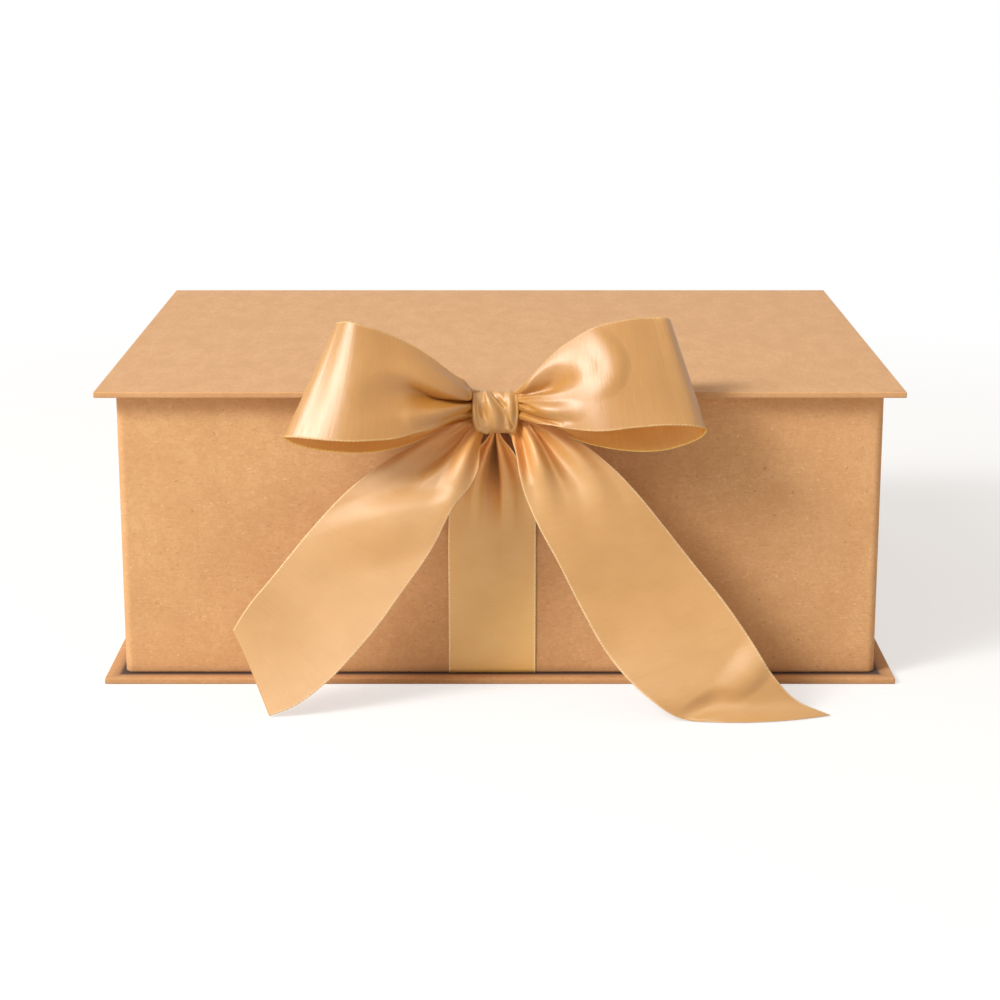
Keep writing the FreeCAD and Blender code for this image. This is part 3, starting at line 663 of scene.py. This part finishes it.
RIGHT_TAIL_FOLDS = (
    ((4.8, 101.0, 0.8, 0.8, 0.7), (5.7, 95.0, 1.4, 1.4, 1.3), (6.8, 88.0, 2.0, 2.0, 1.0),
     (8.6, 79.0, 2.6, 2.6, 0.1)),
    ((6.4, 101.2, 0.9, 0.9, -1.0), (8.0, 96.0, 2.4, 2.2, -2.4), (9.4, 91.0, 2.8, 2.6, -2.2),
     (10.8, 85.0, 3.0, 3.0, -0.3)),
    ((8.4, 102.8, 1.0, 1.1, 1.0), (11.6, 97.2, 2.5, 2.7, 2.8), (14.2, 90.5, 3.8, 4.0, 3.2),
     (16.6, 83.0, 5.2, 5.4, 1.8), (19.0, 73.0, 7.0, 7.0, 0.2)),
    ((11.4, 103.0, 0.8, 0.7, -1.1), (16.4, 98.2, 2.6, 2.2, -3.2), (21.6, 92.0, 4.2, 3.6, -3.0),
     (26.4, 85.5, 5.2, 5.0, -1.2),
     (31.0, 79.0, 6.0, 6.0, -0.1)),
    ((18.0, 101.2, 1.4, 1.6, 0.4), (29.5, 91.2, 3.6, 4.8, 1.1), (36.0, 81.0, 6.5, 8.0, 1.0),
     (40.0, 68.0, 9.0, 10.0, 0.2)),
    ((97.0, 25.0, 9.0, 6.0, 0.3), (92.0, 16.5, 10.0, 6.5, 1.6), (85.0, 10.5, 9.0, 5.5, 0.8)),
    ((87.0, 6.5, 4.0, 4.0, -0.3), (80.0, 6.4, 6.0, 4.4, -1.4), (73.0, 4.4, 5.0, 3.6, -1.4),
     (66.0, 1.6, 4.0, 3.0, -0.4)),
)


def front_ribbon_grid():
    """The strip up the tray's front, narrow and deeply pleated where it gathers under the knot."""
    middle_x, front = -3.0, TRAY_FRONT - 0.3
    # Height, share of the width, way forward, way to the right and depth of the pleats.
    rows = ((2.6, 1.0, 0.0, 0.0, 0.0), (12.0, 1.0, -0.2, 0.0, 0.0), (40.0, 1.0, -0.3, 0.0, 0.0),
            (56.0, 1.0, -0.6, 0.0, 0.0), (64.0, 0.99, -1.6, 0.1, 0.25), (70.0, 0.965, -3.2, 0.2, 0.55),
            (76.0, 0.92, -5.2, 0.3, 0.85), (82.0, 0.79, -7.2, 0.5, 1.0), (88.0, 0.56, -9.6, 0.7, 1.0),
            (92.8, 0.38, -11.6, 0.9, 0.75), (96.5, 0.20, -13.0, 1.1, 0.40), (99.0, 0.11, -13.6, 1.2, 0.20),
            (101.8, 0.09, -13.8, 1.2, 0.1))
    table = np.array(rows)
    samples = np.concatenate([np.linspace(2.6, 54.0, 40, endpoint=False), np.linspace(54.0, 101.8, 190)])
    table = smooth(table, table[:, 0], samples)
    share = np.linspace(-1.0, 1.0, 120)

    def swell(place, reach):
        return np.clip(1.0 - ((share - place) / reach) ** 2, 0.0, 1.0) ** 2

    pleat = np.clip(1.0 - np.abs(share - 0.10) / np.where(share < 0.10, 0.44, 0.13), 0.0, 1.0) ** 1.15
    x = middle_x + table[:, 3][:, None] + table[:, 1][:, None] * share[None, :] * FRONT_RIBBON / 2
    profile = (-5.6 * pleat + 1.9 * swell(-0.44, 0.24) + 1.6 * swell(0.38, 0.24)
               - 1.4 * swell(-0.70, 0.24) - 1.4 * swell(0.72, 0.26)
               + 0.4 * swell(-0.95, 0.2) + 0.4 * swell(0.95, 0.2))
    y = front + table[:, 2][:, None] - table[:, 4][:, None] * profile[None, :]
    y = np.minimum(y, front)
    z = np.repeat(table[:, 0][:, None], len(share), axis=1)
    return np.stack([x, y, z], axis=-1)[:, ::-1]


def lid_ribbon_grid():
    """The ribbon out of the lid's front edge, down behind the knot."""
    # Y, Z and depth of the waves across it.
    table = np.array(((-97.5, 110.9, 0.0), (-116.6, 110.9, 0.0), (-118.4, 110.5, 0.0),
                      (-119.9, 109.4, 0.05), (-120.6, 107.4, 0.1), (-120.7, 104.4, 0.12)))
    places = row_places(table[:, :2])
    table = smooth(table, places, np.linspace(0.0, places[-1], 60))
    share = np.linspace(-1.0, 1.0, 40)
    x = KNOT[0] + np.repeat(share[None, :] * RIBBON / 2, len(table), axis=0)
    y = table[:, 0][:, None] + table[:, 2][:, None] * waves(share, 3)
    z = np.repeat(table[:, 1][:, None], len(share), axis=1)
    return np.stack([x, y, z], axis=-1)


# Folds of the knot, as paths of x, z, radius above, radius below and depth.
KNOT_FOLDS = (
    ((-9.6, 115.2, 1.1, 1.1, 0.7), (-9.3, 108.0, 1.1, 1.1, 0.7), (-8.0, 101.0, 1.1, 1.1, 0.6)),
    ((-7.2, 112.0, 1.2, 1.2, -0.2), (-6.3, 108.6, 2.0, 2.0, -1.3), (-5.4, 104.6, 1.7, 1.7, -0.4)),
    ((-5.3, 115.0, 0.9, 0.9, 0.8), (-3.8, 111.5, 2.0, 2.2, 1.5), (-1.8, 107.0, 3.4, 3.4, 1.6),
     (-1.4, 103.5, 3.2, 3.2, 0.8)),
    ((-3.4, 115.4, 1.0, 0.7, -1.2), (-0.8, 113.0, 1.6, 0.9, -2.0), (1.4, 110.6, 1.3, 0.9, -0.9)),
    ((3.4, 114.8, 2.0, 2.0, 0.9), (3.8, 109.0, 2.2, 2.2, 1.0), (3.6, 104.0, 2.0, 2.0, 0.7)),
    ((2.0, 108.6, 0.7, 0.7, -0.2), (3.2, 106.0, 0.8, 0.8, -0.8), (4.6, 102.6, 0.7, 0.7, -0.5)),
    ((-7.2, 102.0, 1.4, 1.4, 0.9), (-4.8, 100.4, 1.4, 1.4, 1.2)),
    ((3.0, 102.2, 1.3, 1.3, 1.0), (5.2, 100.8, 1.3, 1.3, 1.2)),
)


def knot_grid():
    """The knot: a band of ribbon wrapped round the gathers, its two edges turned in behind it."""
    around, across, hidden = 180, 110, 14
    turn = np.linspace(math.pi, 3 * math.pi, around, endpoint=False)
    place = np.linspace(-1.0, 1.0, across)
    turned = np.linspace(0.0, 1.0, hidden + 1)[1:]
    tuck = np.clip((np.abs(place) - 0.86) / 0.14, 0.0, 1.0)
    size = np.concatenate([(0.66 - 0.06 * turned)[::-1], 1.0 - 0.34 * tuck ** 2, 0.66 - 0.06 * turned])
    sides = np.sign(place) * np.minimum(np.abs(place) / 0.90, 1.0)
    sides = np.concatenate([(-1.0 + 0.78 * turned)[::-1], sides, 1.0 - 0.78 * turned])
    front = np.cos(turn)
    high = np.sin(turn)
    grid = np.zeros((len(sides), around, 3))
    narrow = 1.0 - 0.13 * np.clip(-high, 0.0, 1.0)
    half_width, half_depth, half_height = 8.4, 5.7, 7.7
    grid[..., 0] = KNOT[0] + 0.3 + sides[:, None] * narrow[None, :] * half_width
    deep = np.sign(front) * np.abs(front) ** 0.80
    tall = np.sign(high) * np.abs(high) ** 0.86
    grid[..., 1] = KNOT[1] - deep[None, :] * half_depth * size[:, None]
    grid[..., 2] = KNOT[2] + tall[None, :] * half_height * size[:, None]
    outward = np.zeros_like(grid)
    outward[..., 1] = -front[None, :]
    outward[..., 2] = high[None, :]
    seen = np.concatenate([np.zeros(hidden), np.ones(across), np.zeros(hidden)])
    facing = np.clip(front, 0.0, 1.0)[None, :] ** 0.5 * seen[:, None]
    return grid + outward * relief(grid, KNOT_FOLDS, facing)[..., None]


# The papers across the two grooves

def groove_grid(radius, half_width, flip):
    """A quarter round of paper, from the panel's end to the spine."""
    angles = np.linspace(-math.pi / 2, 0.0, 17)
    across = np.linspace(-half_width, half_width, 61)
    centre_y, centre_z = GROOVE_CENTRE
    grid = np.zeros((len(angles), len(across), 3))
    grid[..., 0] = across[None, :]
    grid[..., 1] = centre_y + radius * np.cos(angles)[:, None]
    grid[..., 2] = centre_z + radius * np.sin(angles)[:, None]
    if flip:
        grid[..., 2] = BOX_HEIGHT - grid[..., 2]
    return grid


def add_groove_paper(name, radius, half_width, flip, material, node):
    grid = groove_grid(radius, half_width, flip)
    piece = make_piece(name, grid, material, 2 * half_width, GROOVE_LENGTH, GROOVE_PAPER)
    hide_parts(node)
    if flip:
        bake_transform(piece)
    else:
        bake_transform(piece)


def place_ribbon(piece, body, node):
    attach(piece, body)
    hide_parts(node)


# Build

bpy.context.scene.view_settings.view_transform = "Standard"
add_camera()
add_world()
add_floor()
for lamp_name, lamp_size, lamp_watts in (("key", 2.0, 53.0), ("key_middle", 0.9, 50.0)):
    add_lamp(lamp_name, (-1.98, -1.66, 1.93), (0.0, 0.0, 0.05), lamp_size, lamp_watts, (0.98, 1.0, 1.0))

kraft = kraft_material("kraft_paper", KRAFT, 0.00010)
# The tray's copy has a painted shadow line and soft painted shade at its foot.
tray_kraft_painted_shade = kraft_material("tray_kraft_painted_shade", KRAFT, 0.00010, line=2.65)
# The lid's copy is a little lighter, as painted light for its lit top, with a painted shadow line under its
# front edge.
lid_kraft_painted_light_shade = kraft_material("lid_kraft_painted_light_shade", (0.730, 0.408, 0.186), 0.00010, line=110.95)
# The base's copy is darker as painted shade, with a painted contact shadow along its bottom and painted shade
# round the tray's foot.
base_kraft_painted_shade = kraft_material("base_kraft_painted_shade", (0.650, 0.350, 0.150), 0.00010, line=0.30, foot=True)
lining = kraft_material("lining_paper", (0.760, 0.450, 0.235), 0.00008)
tape = kraft_material("gummed_tape", (0.600, 0.370, 0.200), 0.00006)
greyboard = board_material()
# Painted light: the knot's and tongue's copy is lighter than the loops'.
satin = satin_material("satin", RIBBON, (1.10, 1.22, 1.17))
# The loops' copy has painted shade deepening towards the knot.
loop_satin = satin_material("loop_satin", RIBBON, (1.02, 1.13, 1.08),
                            painted_knot_shade=(64.0, 38.0, 0.40, (0.480, 0.195, 0.012, 1.0)))
# Painted light: the loops' insides are a much lighter copy, standing in for the light that bounces into them.
inside_satin = satin_material("inside_satin", RIBBON, (1.50, 1.66, 0.95), dull=0.10)
# Painted light: the tails are a lighter, whiter copy standing in for their satin sheen, with painted shade
# and bounce light near the knot.
tail_satin = satin_material("tail_satin", RIBBON, (1.15, 1.38, 1.75), dull=0.10, streaks=0.5,
                            painted_knot_shade=(32.0, 8.0, 0.50, (0.800, 0.320, 0.030, 1.0)))
# Painted light: the strip is a much lighter copy standing in for light it lacks under the tails, with painted
# shade near the knot and a painted dark pleat.
strip_satin = satin_material("strip_satin", FRONT_RIBBON, (1.98, 2.38, 3.10), dull=0.05, streaks=0.5,
                             painted_knot_shade=(66.0, 92.0, 0.60, (0.800, 0.300, 0.025, 1.0)),
                             pleat=(12.6, 14.2, 18.2, 22.4))

looks = {"tray_corner_tapes": tape, "tray_wrap_paper": tray_kraft_painted_shade, "base_cover_paper": base_kraft_painted_shade,
         "lid_cover_paper": lid_kraft_painted_light_shade}
for node_name, node_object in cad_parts.items():
    if node_name.endswith("_board"):
        look = greyboard
    elif "lining" in node_name:
        look = lining
    else:
        look = looks.get(node_name, kraft)
    for slot in node_object.material_slots:
        slot.material = look

add_groove_paper("lower_groove_cover", 2.93, 149.5, False, kraft, "lower_groove_paper")
add_groove_paper("lower_groove_inside", 2.78, 147.0, False, lining, "lower_groove_lining")
add_groove_paper("upper_groove_cover", 2.93, 149.5, True, kraft, "upper_groove_paper")
add_groove_paper("upper_groove_inside", 2.78, 147.0, True, lining, "upper_groove_lining")

left_loop = loop_grid(LEFT_LOOP, LEFT_FEATURES, LEFT_LIPS, 1)
piece = make_piece("loop_left", left_loop, loop_satin, RIBBON, grid_length(left_loop))
add_inside(piece, inside_satin, False)
place_ribbon(piece, "base", "bow_loop_left")

right_loop = loop_grid(RIGHT_LOOP, RIGHT_FEATURES, RIGHT_LIPS, -1)
piece = make_piece("loop_right", right_loop, loop_satin, RIBBON, grid_length(right_loop))
add_inside(piece, inside_satin, True)
place_ribbon(piece, "base", "bow_loop_right")

left_tail = tail_grid(LEFT_TAIL, LEFT_TAIL_FOLDS, 1)
piece = make_piece("tail_left", left_tail, tail_satin, RIBBON, grid_length(left_tail))
place_ribbon(piece, "base", "bow_tail_left")

right_tail = tail_grid(RIGHT_TAIL, RIGHT_TAIL_FOLDS, -1, 4.2)
piece = make_piece("tail_right", right_tail, tail_satin, RIBBON, grid_length(right_tail))
place_ribbon(piece, "base", "bow_tail_right")

strip = front_ribbon_grid()
piece = make_piece("strip", strip, strip_satin, FRONT_RIBBON, grid_length(strip))
place_ribbon(piece, "base", "front_ribbon")

tongue = lid_ribbon_grid()
piece = make_piece("lid_tongue", tongue, satin, RIBBON, grid_length(tongue))
place_ribbon(piece, "lid", "lid_ribbon")

knot = knot_grid()
piece = make_piece("knot", knot, satin, RIBBON, RIBBON, closed=True)
place_ribbon(piece, "base", "bow_knot")
